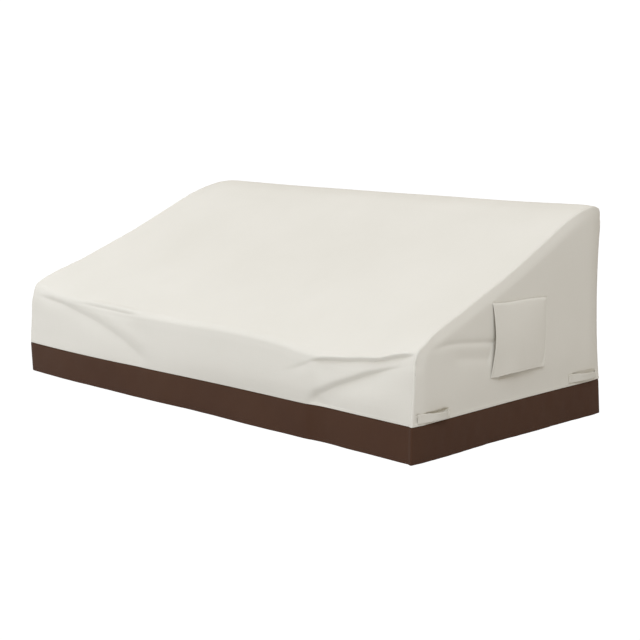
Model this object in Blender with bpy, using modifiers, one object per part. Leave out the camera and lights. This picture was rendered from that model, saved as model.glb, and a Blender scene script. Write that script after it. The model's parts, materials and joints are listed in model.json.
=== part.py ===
"""Fitted outdoor sofa cover, three seats wide, in the shape in which it is worn.

Metres, +Z up, +X to the right as seen from the front, +Y to the back.
Shapes are worked out in cover coordinates: x from the middle, y back from the front of the hem,
z up from the hem. The finished part is moved so that its origin is the point under the top ledge
where the cover bears on what it covers.
"""
from collections import namedtuple

import bmesh
import bpy
import numpy as np

# ---- driving sizes ----------------------------------------------------------------------------
WIDTH = 2.016              # across the hem, 79 in and the ease of the cloth
DEPTH = 0.990              # front to back at the hem, 39 in
SKIRT = 0.114              # height of the brown skirt at the hem
FRONT_EDGE = 0.341         # height of the front top corners above the hem
BACK_EDGE = 0.716          # height of the rear ledge above the hem
CLOTH = 0.002              # coated polyester with its seam allowances
FLAP_CLOTH = 0.0015        # the hood over the vent is one thin layer
STRAP_CLOTH = 0.003        # a handle is folded cloth, sewn flat
SEAM_GAP = 0.0008          # what parts two pieces along a seam
CORNER_GAP = 1.3 * CLOTH + SEAM_GAP   # and at a corner, where one piece ends inside the other

# ---- how the sides lean and round over ---------------------------------------------------------
LEAN = {1: 0.010, -1: 0.085}       # how far each side leans in at the rear ledge: right, left
BACK_LEAN = 0.006
TOP_ROLL, TOP_ROLL_WIDTH = 0.012, 0.065
TOP_ROLL_BACK = 0.3                # share of the top roll that is left at the rear ledge
FRONT_ROLL, FRONT_ROLL_WIDTH = 0.005, 0.035
REAR_ROLL, REAR_ROLL_WIDTH = 0.022, 0.080
HEM_EASE = 0.090                   # below this height the rear corners hang straight
CROWN, CROWN_WIDTH = 0.005, 0.045  # the panel rises this much above its side seams
SAG_POWER = 4                      # the sag is flat in the middle and short at the ends
BACK_BILLOW = 0.012

# ---- the long panel's section, from its front seam to its back seam --------------------------
# with the rows of the panel's grid up to each place, and the columns of a side panel's
Section = namedtuple("Section", "place y_end z_end y_mid z_mid rows side_columns")
SECTIONS = (
    Section("front seam",        0.000, SKIRT + SEAM_GAP, -0.002, SKIRT + SEAM_GAP, 0, 0),
    Section("front, half way",   0.008, 0.215,            -0.001, 0.205, 4, 0),
    Section("front, high",       0.015, 0.300,             0.000, 0.282, 4, 0),
    Section("front top edge",    0.030, FRONT_EDGE,        0.014, 0.312, 3, 2),
    Section("edge, slope side",  0.060, 0.363,             0.050, 0.336, 2, 1),
    Section("lower slope",       0.246, 0.434,             0.246, 0.420, 3, 5),
    Section("middle slope",      0.491, 0.537,             0.491, 0.526, 4, 6),
    Section("upper slope",       0.667, 0.617,             0.667, 0.604, 3, 3),
    Section("shoulder",          0.802, 0.680,             0.802, 0.667, 2, 2),
    Section("ledge, front",      0.890, 0.708,             0.890, 0.698, 2, 2),
    Section("ledge, back",       0.944, BACK_EDGE,         0.944, BACK_EDGE - 0.009, 2, 2),
    Section("rear top edge",     0.973, 0.704,             0.973, 0.696, 2, 2),
    Section("back, under it",    0.9845, 0.676,            0.9845, 0.668, 1, 1),
    Section("back seam",         0.9845, 0.648,            0.9845, 0.642, 1, 1),
)
FRONT_CORNER, REAR_CORNER = 2, 12   # the sections where a side panel's top seam begins and ends
LEDGE_SECTION = 10                  # the section that bears on what is covered
# zones across the panel: from, to (share of the half width) and columns; close where it creases
COLUMN_ZONES = ((-1.0, -0.26, 24), (-0.26, 0.48, 10), (0.48, 1.0, 20))

# ---- creases: a lip above the line and a groove under it, along a path of (across, up) ---------
Fold = namedtuple("Fold", "name lip groove half_width path")
FRONT_FOLDS = (
    Fold("left, long", 0.007, 0.008, 0.018,
         ((-0.930, 0.302), (-0.800, 0.291), (-0.636, 0.270), (-0.452, 0.220),
          (-0.352, 0.177), (-0.260, 0.130))),
    Fold("left, at the edge", 0.004, 0.005, 0.014,
         ((-0.780, 0.324), (-0.641, 0.314), (-0.479, 0.305), (-0.320, 0.302))),
    Fold("right, at the edge", 0.012, 0.011, 0.018,
         ((0.460, 0.228), (0.589, 0.248), (0.741, 0.272), (0.866, 0.298),
          (0.927, 0.318), (0.996, 0.332))),
    Fold("right, long", 0.006, 0.016, 0.026,
         ((0.520, 0.106), (0.589, 0.141), (0.655, 0.176), (0.742, 0.216),
          (0.826, 0.255), (0.985, 0.300))),
)
SIDE_FOLDS = (
    Fold("from the front corner", 0.004, 0.006, 0.014,
         ((0.040, 0.346), (0.130, 0.351), (0.248, 0.344), (0.385, 0.329))),
    Fold("under it", 0.003, 0.003, 0.012,
         ((0.200, 0.302), (0.300, 0.299), (0.385, 0.292))),
)
# soft dents and bulges: middle of the patch, its height, and its reach across and up
Patch = namedtuple("Patch", "across up height reach_across reach_up")
FRONT_PATCHES = (
    Patch(-0.930, 0.210, 0.006, 0.090, 0.070),
    Patch(-0.020, 0.130, -0.008, 0.240, 0.070),
    Patch(0.430, 0.140, -0.014, 0.120, 0.070),
    Patch(0.800, 0.170, 0.010, 0.170, 0.070),
)
SIDE_PATCHES = (
    Patch(0.620, 0.115, -0.007, 0.300, 0.080),
)

# ---- the skirt: where each corner of its hem hangs from the seam above it ---------------------
Corner = namedtuple("Corner", "right back up")
HEM_SHIFT = {
    "front left": Corner(0.003, 0.003, 0.001),
    "front right": Corner(-0.001, 0.000, -0.002),
    "rear right": Corner(0.008, 0.001, -0.006),
    "rear left": Corner(-0.004, 0.002, -0.002),
}
HEM_WAVE = 0.003              # how far the hem swings out and in between its corners
# each length of skirt: the corner it starts from, going round to the right, the way it faces,
# and how many times its hem swings out and in
Length = namedtuple("Length", "start facing waves columns")
SKIRT_LENGTHS = {
    "front": Length("front left", (0, -1, 0), 3.5, 40),
    "right": Length("front right", (1, 0, 0), 2.0, 20),
    "back": Length("rear right", (0, 1, 0), 3.0, 20),
    "left": Length("rear left", (-1, 0, 0), 1.5, 20),
}

# ---- the vent hood: lower front corner, size, and how far it stands off -----------------------
HOOD_FRONT, HOOD_BACK = 0.374, 0.660
HOOD_FOOT, HOOD_TOP = 0.213, 0.444
HOOD_FOOT_RISE = 0.010        # its foot is this much higher at the back
HOOD_CORNER = 0.030           # radius of its lower back corner
HOOD_STAND_OFF = 0.015        # at the middle of its open front edge
HOOD_FOOT_GAP = 0.009         # at the open part of its foot
SEWN = 0.0006                 # a sewn edge lies this close to the panel

# ---- the handles: front end, foot, size, and how far the strap stands off ---------------------
HANDLES = {"front": (0.026, 0.122), "rear": (0.800, 0.128)}
STRAP_LENGTH, STRAP_HEIGHT = 0.160, 0.034
STRAP_TAB = 0.016             # sewn flat at each end
STRAP_RISE = 0.026            # from the tab to the full stand-off
STRAP_OFF_FOOT, STRAP_OFF_TOP = 0.0080, 0.0105

COLOURS = {"cream": (0.76, 0.73, 0.66), "brown": (0.062, 0.036, 0.027)}


# ---- curves, rolls and folds ------------------------------------------------------------------
def curve_at(knots, values, at):
    """Cubic curve through values at knots, its slope at each taken from both neighbours."""
    slopes = np.gradient(values, knots, axis=0)
    i = np.clip(np.searchsorted(knots, at) - 1, 0, len(knots) - 2)
    span = (knots[i + 1] - knots[i])[:, None]
    f = ((at - knots[i])[:, None]) / span
    start = (2 * f**3 - 3 * f**2 + 1) * values[i] + (f**3 - 2 * f**2 + f) * span * slopes[i]
    end = (3 * f**2 - 2 * f**3) * values[i + 1] + (f**3 - f**2) * span * slopes[i + 1]
    return start + end


def ease(value, low, high):
    """0 below low, 1 above high, and smooth between."""
    f = np.clip((value - low) / (high - low), 0, 1)
    return f * f * (3 - 2 * f)


def roll(distance, depth, width):
    """How far a panel has rounded inwards at a distance from its edge."""
    return depth * (1 - np.clip(distance / width, 0, 1)) ** 2


def fold_height(across, up, fold):
    """Lip and groove of one fold: full along its path, and gone at its ends."""
    corners = np.array(fold.path)
    along = np.linspace(0, 1, len(corners))
    path = curve_at(along, corners, np.linspace(0, 1, 25))
    starts, steps = path[:-1], np.diff(path, axis=0)
    offset = np.stack([across, up], axis=-1)[:, None, :] - starts
    share = np.clip((offset * steps).sum(-1) / (steps**2).sum(-1), 0, 1)
    apart = offset - share[..., None] * steps
    distance = np.hypot(apart[..., 0], apart[..., 1])
    nearest = distance.argmin(axis=1)
    pick = np.arange(len(nearest)), nearest
    above = np.sign(steps[nearest, 0] * apart[pick][:, 1] - steps[nearest, 1] * apart[pick][:, 0])
    signed = distance[pick] * above
    place = (nearest + share[pick]) / len(starts)
    strength = np.sqrt(np.clip(np.sin(np.pi * place), 0, 1))
    lip = fold.lip * np.exp(-((signed - fold.half_width) / fold.half_width) ** 2)
    groove = fold.groove * np.exp(-((signed + 0.3 * fold.half_width) / (0.8 * fold.half_width)) ** 2)
    return strength * (lip - groove)


def relief(across, up, folds, patches):
    """Height of all folds and soft patches of a panel."""
    height = sum(fold_height(across, up, fold) for fold in folds)
    for patch in patches:
        spread = ((across - patch.across) / patch.reach_across) ** 2
        spread = spread + ((up - patch.up) / patch.reach_up) ** 2
        height = height + patch.height * np.exp(-spread)
    return height


# ---- the section of the long panel ------------------------------------------------------------
END = np.array([(row.y_end, row.z_end) for row in SECTIONS])
MIDDLE = np.array([(row.y_mid, row.z_mid) for row in SECTIONS])
KNOTS = np.concatenate([[0], np.cumsum(np.hypot(*np.diff(END, axis=0).T))])
TOP_SEAM = curve_at(KNOTS, END, np.linspace(KNOTS[FRONT_CORNER], KNOTS[REAR_CORNER], 200))


def back_y(z):
    """The back of the cover at a height."""
    return DEPTH - BACK_LEAN * z / BACK_EDGE


def side_x(side, y, z):
    """Outside of a side panel, side being 1 on the right and -1 on the left."""
    from_top = np.hypot(*(np.stack([y, z])[:, :, None] - TOP_SEAM.T[:, None, :])).min(axis=1)
    from_front = y - np.interp(z, END[:FRONT_CORNER + 1, 1], END[:FRONT_CORNER + 1, 0])
    from_back = back_y(z) - y
    top_roll = TOP_ROLL * (1 - (1 - TOP_ROLL_BACK) * ease(y, 0.75 * DEPTH, DEPTH))
    height = np.clip((z - HEM_EASE) / (BACK_EDGE - HEM_EASE), 0, 1)
    rear_roll = REAR_ROLL * np.sqrt(np.sin(np.pi * height))
    inset = roll(from_top, top_roll, TOP_ROLL_WIDTH)
    inset = inset + roll(from_front, FRONT_ROLL, FRONT_ROLL_WIDTH)
    inset = inset + roll(from_back, rear_roll, REAR_ROLL_WIDTH)
    lean = LEAN[side] * (np.clip(z, 0, None) / BACK_EDGE) ** 1.5 * ease(y, -0.05, 0.25)
    x = WIDTH / 2 - lean - inset
    if side > 0:
        inside = np.minimum(np.minimum(from_top, from_front), from_back)
        x = x + ease(inside, 0, 0.03) * relief(y, z, SIDE_FOLDS, SIDE_PATCHES)
    return side * x


def panel_base(u, s):
    """The long panel before its crown and folds; u runs -1 to 1 across, s along the section."""
    end, middle = curve_at(KNOTS, END, s), curve_at(KNOTS, MIDDLE, s)
    sag = (1 - np.abs(u) ** SAG_POWER)[:, None]
    yz = end * (1 - sag) + middle * sag
    left, right = side_x(-1, end[:, 0], end[:, 1]), side_x(1, end[:, 0], end[:, 1])
    x = (left + right) / 2 + u * (right - left) / 2
    return np.column_stack([x, yz])


def panel(u, s):
    """The long panel's outside: base, crown between the side seams, and the front's folds."""
    base = panel_base(u, s)
    step = 1e-4
    across = panel_base(u + step, s) - panel_base(u - step, s)
    along = panel_base(u, s + step) - panel_base(u, s - step)
    normal = np.cross(across, along)
    normal = normal / np.linalg.norm(normal, axis=1)[:, None]
    from_edge = (1 - np.abs(u)) * WIDTH / 2
    height = CROWN - roll(from_edge, CROWN, CROWN_WIDTH)
    folds = relief(base[:, 0], base[:, 2], FRONT_FOLDS, FRONT_PATCHES)
    held = ease(from_edge, 0, 0.03) * (0.4 + 0.6 * ease(base[:, 2], SKIRT, SKIRT + 0.03))
    height = height + folds * held * (1 - ease(base[:, 1], 0.08, 0.16))
    return base + normal * height[:, None]


# ---- the pieces' surfaces ---------------------------------------------------------------------
def side_panel(side):
    """A side panel's outside; columns follow its top seam, rows rise from the skirt to it."""
    first, last = KNOTS[FRONT_CORNER], KNOTS[-1]

    def surface(s, rise):
        seam = curve_at(KNOTS, END, s)
        y_first, y_last = curve_at(KNOTS, END, np.array([first, last]))[:, 0]
        foot_y = back_y(SKIRT) * (seam[:, 0] - y_first) / (y_last - y_first)
        y = foot_y + rise * (seam[:, 0] - foot_y)
        z = SKIRT + SEAM_GAP + rise * (seam[:, 1] - SKIRT - SEAM_GAP)
        return np.column_stack([side_x(side, y, z), y, z])
    return surface


def back_panel(u, rise):
    """The back panel's outside, a little billowed."""
    s = np.full_like(u, KNOTS[-1])
    top = panel(u, s)
    top[:, 2] = top[:, 2] - SEAM_GAP
    foot_z = SKIRT + SEAM_GAP
    z = foot_z + rise * (top[:, 2] - foot_z)
    left, right = side_x(-1, back_y(z), z), side_x(1, back_y(z), z)
    x = (left + right) / 2 + u * (right - left) / 2
    y = back_y(SKIRT) + rise * (top[:, 1] - back_y(SKIRT))
    bulge = BACK_BILLOW * np.sin(np.pi * rise) * (1 - u**2)
    return np.column_stack([x, y + bulge, z])


def skirt(edge):
    """The outside of one length of skirt; t runs along it and rise from the hem to the seam."""
    length = SKIRT_LENGTHS[edge]
    corners = list(HEM_SHIFT)
    begin = np.array(HEM_SHIFT[length.start])
    finish = np.array(HEM_SHIFT[corners[(corners.index(length.start) + 1) % len(corners)]])

    def surface(t, rise):
        u = 2 * t - 1
        level = np.full_like(t, SKIRT)
        if edge == "front":
            top = panel(u, np.zeros_like(u))
        elif edge == "back":
            top = back_panel(-u, np.zeros_like(u))
        elif edge == "right":
            top = np.column_stack([side_x(1, t * back_y(SKIRT), level), t * back_y(SKIRT), level])
        else:
            y = (1 - t) * back_y(SKIRT)
            top = np.column_stack([side_x(-1, y, level), y, level])
        top[:, 2] = SKIRT
        shift = begin + t[:, None] * (finish - begin)
        wave = HEM_WAVE * np.sin(np.pi * t) * np.sin(2 * np.pi * length.waves * t)
        hem = top + shift + wave[:, None] * np.array(length.facing)
        hem[:, 2] = shift[:, 2]
        return hem + rise[:, None] * (top - hem)
    return surface


def hood(side):
    """The vent hood's outside: sewn at its top and back, open at its front and foot."""
    def surface(t, rise):
        foot = HOOD_FOOT + HOOD_FOOT_RISE * t
        corner = np.clip(1 - (1 - t) * (HOOD_BACK - HOOD_FRONT) / HOOD_CORNER, 0, 1)
        foot = foot + HOOD_CORNER * (1 - np.sqrt(1 - corner**2))
        y = HOOD_FRONT + t * (HOOD_BACK - HOOD_FRONT)
        z = foot + rise * (HOOD_TOP - foot)
        front_gap = HOOD_STAND_OFF * np.sin(np.pi * np.clip(rise, 0, 1)) ** 0.8 * (1 - t) ** 2
        foot_gap = HOOD_FOOT_GAP * np.sin(np.pi * ease(t, 0.02, 0.9)) * (1 - rise) ** 2
        off = SEWN + FLAP_CLOTH + front_gap + foot_gap
        return np.column_stack([side_x(side, y, z) + side * off, y, z])
    return surface


def handle(side, place):
    """A handle's outside: two sewn tabs, with the strap standing off between them."""
    front, foot = HANDLES[place]

    def surface(t, rise):
        along = t * STRAP_LENGTH
        from_end = np.minimum(along, STRAP_LENGTH - along)
        lift = ease(from_end, STRAP_TAB, STRAP_TAB + STRAP_RISE)
        y, z = front + along, foot + rise * STRAP_HEIGHT
        stand_off = STRAP_OFF_FOOT + rise * (STRAP_OFF_TOP - STRAP_OFF_FOOT)
        off = SEWN + STRAP_CLOTH + lift * stand_off
        return np.column_stack([side_x(side, y, z) + side * off, y, z])
    return surface


# ---- making the objects -----------------------------------------------------------------------
def clear_scene():
    for item in list(bpy.data.objects):
        bpy.data.objects.remove(item, do_unlink=True)


def cloth_material(name):
    material = bpy.data.materials.new(name)
    material.use_nodes = True
    shader = material.node_tree.nodes["Principled BSDF"]
    shader.inputs["Base Color"].default_value = (*COLOURS[name], 1)
    shader.inputs["Roughness"].default_value = 0.85
    return material


def cloth(name, columns, rows, surface, thickness, material):
    """A sheet of cloth: a grid laid on a surface's outside and thickened inwards."""
    columns, rows = np.asarray(columns), np.asarray(rows)
    grid = bmesh.new()
    bmesh.ops.create_grid(grid, x_segments=len(columns) - 1, y_segments=len(rows) - 1, size=1)
    flat = np.array([vertex.co for vertex in grid.verts])
    column = np.rint((flat[:, 0] + 1) / 2 * (len(columns) - 1)).astype(int)
    row = np.rint((flat[:, 1] + 1) / 2 * (len(rows) - 1)).astype(int)
    for vertex, place in zip(grid.verts, surface(columns[column], rows[row]) - MOUNT_POINT):
        vertex.co = place
    mesh = bpy.data.meshes.new(name)
    grid.to_mesh(mesh)
    grid.free()
    mesh.materials.append(material)
    mesh.shade_smooth()
    item = bpy.data.objects.new(name, mesh)
    cover.objects.link(item)
    wall = item.modifiers.new("Cloth", "SOLIDIFY")
    wall.thickness, wall.offset = thickness, -1
    wall.use_even_offset = True
    return item


def spaced(zones):
    """Places along zones of (from, to, steps)."""
    runs = [np.linspace(low, high, steps, endpoint=False) for low, high, steps in zones]
    return np.concatenate(runs + [[zones[-1][1]]])


# the bearing point: under the rear ledge, half way along the hem
LEDGE = panel(np.array([0.0]), KNOTS[[LEDGE_SECTION]])[0]
MOUNT_POINT = np.array([0, LEDGE[1], LEDGE[2] - CLOTH])

clear_scene()
cover = bpy.data.collections.new("sofa_cover")
bpy.context.scene.collection.children.link(cover)
cream, brown = cloth_material("cream"), cloth_material("brown")

inner = 1 - CORNER_GAP / (WIDTH / 2)       # where a piece ends that meets a side panel
across_panel = spaced(COLUMN_ZONES) * inner
along_panel = spaced([(KNOTS[i], KNOTS[i + 1], SECTIONS[i + 1].rows)
                      for i in range(len(SECTIONS) - 1)])
cloth("front_top_panel", across_panel, along_panel, panel, CLOTH, cream)

side_columns = spaced([(KNOTS[i - 1], KNOTS[i], SECTIONS[i].side_columns)
                       for i in range(FRONT_CORNER + 1, len(SECTIONS))])
side_rows = np.concatenate([np.linspace(0, 0.84, 10), [0.90, 0.95, 1.0]])
for side, name in ((1, "right"), (-1, "left")):
    order = slice(None, None, side)        # the left side's columns run forwards
    cloth(f"side_panel_{name}", side_columns[order], side_rows, side_panel(side), CLOTH, cream)
    cloth(f"vent_hood_{name}", np.linspace(0, 1, 13)[order], np.linspace(0, 1, 10), hood(side),
          FLAP_CLOTH, cream)
    for place in HANDLES:
        cloth(f"handle_{name}_{place}", np.linspace(0, 1, 15)[order], np.linspace(0, 1, 4),
              handle(side, place), STRAP_CLOTH, cream)

cloth("back_panel", np.linspace(inner, -inner, 21), np.linspace(0, 1, 8), back_panel, CLOTH, cream)

for edge, length in SKIRT_LENGTHS.items():
    ends = (1 - inner) / 2 if edge in ("front", "back") else 0
    cloth(f"skirt_{edge}", np.linspace(ends, 1 - ends, length.columns + 1), np.linspace(0, 1, 4),
          skirt(edge), CLOTH, brown)
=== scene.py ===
# %% [markdown]
# # A fitted outdoor cover, in the shape in which it is worn
# The real thing is sewn from coated polyester: one long panel that runs up the front, up the slope
# and over the top, two end panels, a back, a brown skirt, two hoods over air vents and four
# handles. Everything here stands on the imported model, which already has the right sizes, so the
# first step is to load it.

# %% Load the imported model
import json
from collections import namedtuple

import bpy
import numpy as np
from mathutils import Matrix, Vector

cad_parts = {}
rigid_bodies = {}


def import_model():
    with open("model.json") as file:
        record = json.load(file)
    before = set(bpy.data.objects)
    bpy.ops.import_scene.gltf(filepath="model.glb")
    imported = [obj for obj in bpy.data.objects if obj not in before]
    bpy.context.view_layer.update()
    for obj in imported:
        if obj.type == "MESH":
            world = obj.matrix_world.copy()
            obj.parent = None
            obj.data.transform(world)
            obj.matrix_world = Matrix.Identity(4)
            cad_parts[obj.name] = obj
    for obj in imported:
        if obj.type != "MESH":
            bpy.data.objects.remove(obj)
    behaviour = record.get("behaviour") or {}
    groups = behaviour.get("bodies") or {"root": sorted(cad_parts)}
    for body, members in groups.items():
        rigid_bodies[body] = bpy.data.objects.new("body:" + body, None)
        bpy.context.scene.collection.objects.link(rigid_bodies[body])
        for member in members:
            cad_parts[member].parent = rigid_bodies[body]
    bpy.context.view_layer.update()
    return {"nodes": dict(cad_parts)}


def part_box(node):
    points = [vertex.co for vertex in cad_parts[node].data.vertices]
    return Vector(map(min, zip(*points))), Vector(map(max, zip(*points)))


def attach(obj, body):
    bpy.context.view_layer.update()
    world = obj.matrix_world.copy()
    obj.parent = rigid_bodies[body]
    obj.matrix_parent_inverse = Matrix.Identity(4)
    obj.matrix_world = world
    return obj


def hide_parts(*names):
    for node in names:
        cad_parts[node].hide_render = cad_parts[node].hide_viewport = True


for item in list(bpy.data.objects):
    bpy.data.objects.remove(item, do_unlink=True)
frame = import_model()
print("nodes in the frame:", len(frame["nodes"]))

# %% [markdown]
# ## Sizes
# A cover like this is cut to a few sizes, and all its seams follow from them. Lengths are in
# metres. Shapes are worked out in cover coordinates: x from the middle, y back from the front of
# the hem, z up from the hem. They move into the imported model's frame as they are laid.

# %% Sizes
WIDTH, DEPTH = 2.016, 0.990  # across and front to back at the hem
SKIRT = 0.114  # height of the brown skirt
FRONT_EDGE, BACK_EDGE = 0.341, 0.716  # heights of the front corners and the rear ledge
CLOTH, FLAP_CLOTH, STRAP_CLOTH = 0.002, 0.0015, 0.0022
SEAM_GAP = 0.0008
SIDES = ((1, "right"), (-1, "left"))
LEAN = {1: 0.010, -1: 0.085}  # how far each end leans in at the top: right, left
BACK_LEAN = 0.006
TOP_ROLL_BACK = 0.3  # share of the lean under the top seam that is left at the back
REAR_ROLL, REAR_ROLL_WIDTH = 0.022, 0.080  # how the ends round in at the back
HEM_EASE = 0.090  # height under which they don't
CROWN, CROWN_WIDTH = 0.003, 0.0045  # how the long panel rises beside its end seams
SAG_POWER = 4  # the higher, the closer to the ends the sag begins
BACK_BILLOW = 0.012

# sections of the long panel: back, up at the ends, and up in the middle
SECTIONS = {
    "front seam": (0.000, SKIRT + SEAM_GAP, SKIRT + SEAM_GAP),
    "front, half way": (0.008, 0.215, 0.205),
    "front, high": (0.015, 0.300, 0.282),
    "front top edge": (0.030, FRONT_EDGE, 0.312),
    "edge, slope side": (0.060, 0.360, 0.338),
    "lower slope": (0.246, 0.436, 0.422),
    "middle slope": (0.491, 0.534, 0.528),
    "upper slope": (0.667, 0.615, 0.606),
    "shoulder": (0.802, 0.678, 0.669),
    "ledge, front": (0.890, 0.708, 0.7035),
    "ledge, back": (0.944, BACK_EDGE, BACK_EDGE - 0.0055),
    "rear top edge": (0.973, 0.704, 0.699),
    "back, under it": (0.9845, 0.676, 0.668),
    "back seam": (0.9845, 0.648, 0.642),
}
PROFILE = np.array(list(SECTIONS.values()))
FRONT_CORNER, SLOPE, SHOULDER, REAR_CORNER = 2, 5, 8, 12  # sections, counted from 0

# %% [markdown]
# ## Curves that every cloth shares
# Draped cloth has no straight lines, so a few small helpers do most of the drawing: a cubic curve
# through given places, an ease that fades something in, and three ways to round an edge over.


# %% Curves, eases and rolls
def curve_at(knots, values, at):
    """Cubic curve through values at knots, its slope at each taken from both neighbours."""
    slopes = np.gradient(values, knots, axis=0)
    i = np.clip(np.searchsorted(knots, at) - 1, 0, len(knots) - 2)
    span = (knots[i + 1] - knots[i])[:, None]
    f = ((at - knots[i])[:, None]) / span
    start = (2 * f**3 - 3 * f**2 + 1) * values[i] + (f**3 - 2 * f**2 + f) * span * slopes[i]
    end = (3 * f**2 - 2 * f**3) * values[i + 1] + (f**3 - f**2) * span * slopes[i + 1]
    return start + end


def ease(value, low, high):
    """0 below low, 1 above high, and smooth between."""
    f = np.clip((value - low) / (high - low), 0, 1)
    return f * f * (3 - 2 * f)


def roll(distance, depth, width):
    """How far a panel has rounded inwards at a distance from its edge."""
    return depth * (1 - np.clip(distance / width, 0, 1)) ** 2


def bevel(distance, slope, flat, fade):
    """The same for a panel that leans in by one slope along its edge and then straightens."""
    f = np.clip((distance - flat) / fade, 0, 1)
    return slope * (np.clip(flat - distance, 0, None) + fade * (0.5 - f + f**3 - f**4 / 2))


def turn_in(distance, radius, reach):
    """The same for an edge that turns by an arc over its last stretch."""
    left = np.clip(reach - distance, 0, reach)
    return radius - np.sqrt(radius**2 - left**2)


END = PROFILE[:, :2]
KNOTS = np.concatenate([[0], np.cumsum(np.hypot(*np.diff(END, axis=0).T))])
TOP_SEAM = curve_at(KNOTS, END, np.linspace(KNOTS[FRONT_CORNER], KNOTS[REAR_CORNER], 200))
print("cloth from the front seam to the back seam:", round(float(KNOTS[-1]), 3), "m")

# %% [markdown]
# ## The front edge
# Away from the ends the cloth hangs lower. It comes down the slope nearly straight, turns over an
# edge that is only a centimetre or two round, bulges a little and draws in again towards the skirt.
# Towards the right the edge hangs lower still, because the corner there is pulled tight. Each place
# is given in metres along the cloth from the front seam, then back and up.

# %% The front edge
FRONT_HANG = np.array((
    (0.000, -0.0065, SKIRT + SEAM_GAP), (0.020, -0.008, 0.133), (0.050, -0.009, 0.161),
    (0.100, -0.008, 0.208), (0.150, -0.0052, 0.254), (0.180, -0.003, 0.282),
    (0.200, 0.0005, 0.300), (0.213, 0.0085, 0.3095), (0.235, 0.028, 0.320),
    (0.330, 0.1165, 0.361)))
HANG_KNOTS = np.concatenate([FRONT_HANG[:, 0], KNOTS[SLOPE:]])
MIDDLE = np.concatenate([FRONT_HANG[:, 1:], PROFILE[SLOPE:, ::2]])
# how much lower the edge hangs: metres across, and down
EDGE_DROP = np.array((
    (-1.02, 0.000), (-0.65, -0.001), (-0.31, 0.001), (-0.07, 0.000), (0.17, -0.003),
    (0.32, 0.000), (0.46, 0.010), (0.53, 0.020), (0.62, 0.025), (0.72, 0.029),
    (0.82, 0.020), (0.90, 0.007), (0.96, 0.000), (1.02, 0.000)))
EDGE_ALONG = 0.207


def edge_drop(x, s):
    """How much lower the cloth hangs near the front edge."""
    drop = curve_at(EDGE_DROP[:, 0], EDGE_DROP[:, 1:], x)[:, 0]
    below = ease(s, 0, EDGE_ALONG)
    above = np.clip((KNOTS[SLOPE + 1] - s) / (KNOTS[SLOPE + 1] - EDGE_ALONG), 0, 1) ** 1.5
    return drop * np.where(s < EDGE_ALONG, below, above)

# %% [markdown]
# ## Creases
# Where this cover is pulled tight over a corner, the spare cloth gathers into a few long creases.
# Each is a trough whose two walls have their own widths: where the cloth above hangs over, the
# upper wall is short and steep and holds a narrow shadow, and the lower wall comes out slowly. A
# table with a row for each crease is easy to compare with a photograph. Its path is in millimetres
# across and along the cloth, or back and up on an end, and the crease grows or narrows along it.

# %% Creases
Crease = namedtuple("Crease", "name depth above below ridge ridge_width grow start end path")
FRONT_CREASES = (
    Crease("left, long", 0.0055, 0.009, 0.024, 0.0018, 0.012, 2.8, 0.10, 0.14,
           ((-960, 196), (-838, 192), (-766, 186), (-688, 174), (-610, 161), (-522, 142),
            (-410, 109), (-339, 81), (-283, 57), (-220, 25))),
    Crease("left, at the edge", 0.0065, 0.0055, 0.050, 0.003, 0.008, 1.2, 0.40, 0.20,
           ((-770, 200), (-642, 203), (-543, 205), (-468, 205), (-389, 204), (-280, 203))),
    Crease("right, its soft beginning", 0.003, 0.008, 0.024, 0.0, 0.012, 0.7, 0.45, 0.60,
           ((420, 100), (489, 127), (533, 152), (575, 176), (617, 189), (670, 199))),
    Crease("right, at the edge", 0.011, 0.004, 0.120, 0.004, 0.008, 0.60, 0.36, 0.10,
           ((560, 171), (592, 182), (620, 190), (656, 198), (700, 204), (779, 209), (860, 205),
            (916, 211), (1006, 217))),
    Crease("right, long", 0.014, 0.013, 0.110, 0.0, 0.012, 0.55, 0.10, 0.30,
           ((550, -20), (595, 44), (628, 66), (671, 96), (713, 120), (753, 139), (793, 155),
            (832, 165), (908, 177), (990, 186))),
)
END_CREASES = (
    Crease("from the front corner", 0.0038, 0.012, 0.011, 0.0, 0.012, 0.8, 0.45, 0.02,
           ((60, 338), (110, 347), (196, 348), (294, 338), (398, 326))),
    Crease("under it", 0.0042, 0.026, 0.020, 0.0, 0.012, 1.0, 0.35, 0.05,
           ((160, 312), (230, 304), (291, 297), (374, 285))),
)
SLOTS = (
    Crease("behind the front handle", 0.009, 0.003, 0.012, 0.0, 0.012, 1.2, 0.25, 0.10,
           ((44, 150.5), (67, 147.8), (83, 146.4), (110, 146.6), (138, 147.8), (162, 148))),
    Crease("beside the front handle", 0.006, 0.003, 0.0035, 0.0, 0.012, 1.0, 0.20, 0.20,
           ((18.5, 120), (19, 138), (18.5, 156))),
    Crease("behind the rear handle", 0.008, 0.003, 0.009, 0.0, 0.012, 1.0, 0.20, 0.25,
           ((815, 156.5), (848, 154), (880, 153), (930, 150), (972, 150))),
    Crease("behind the hood's foot", 0.006, 0.0035, 0.012, 0.0, 0.012, 0.9, 0.25, 0.60,
           ((402, 209), (418, 210), (440, 211.2), (465, 212.2), (500, 212), (560, 212))),
)
# soft dents and bulges: the middle across and up, the height, and the reach across and up
FRONT_PATCHES = (
    (-0.930, 0.095, 0.002, 0.090, 0.070), (-0.680, 0, 0.006, 0.400, 0.100),
    (-0.720, 0, 0.0028, 0.360, 0.034), (0.250, -0.020, -0.0095, 0.400, 0.055),
    (0.800, 0, -0.004, 0.260, 0.120), (0.860, -0.030, -0.007, 0.220, 0.060))
END_PATCHES = (
    (0.620, 0.115, -0.007, 0.300, 0.080), (0.260, 0.115, -0.003, 0.280, 0.055))


LOWER = 0.5  # the path is the darkest line, and the trough's bottom lies below it


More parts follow.
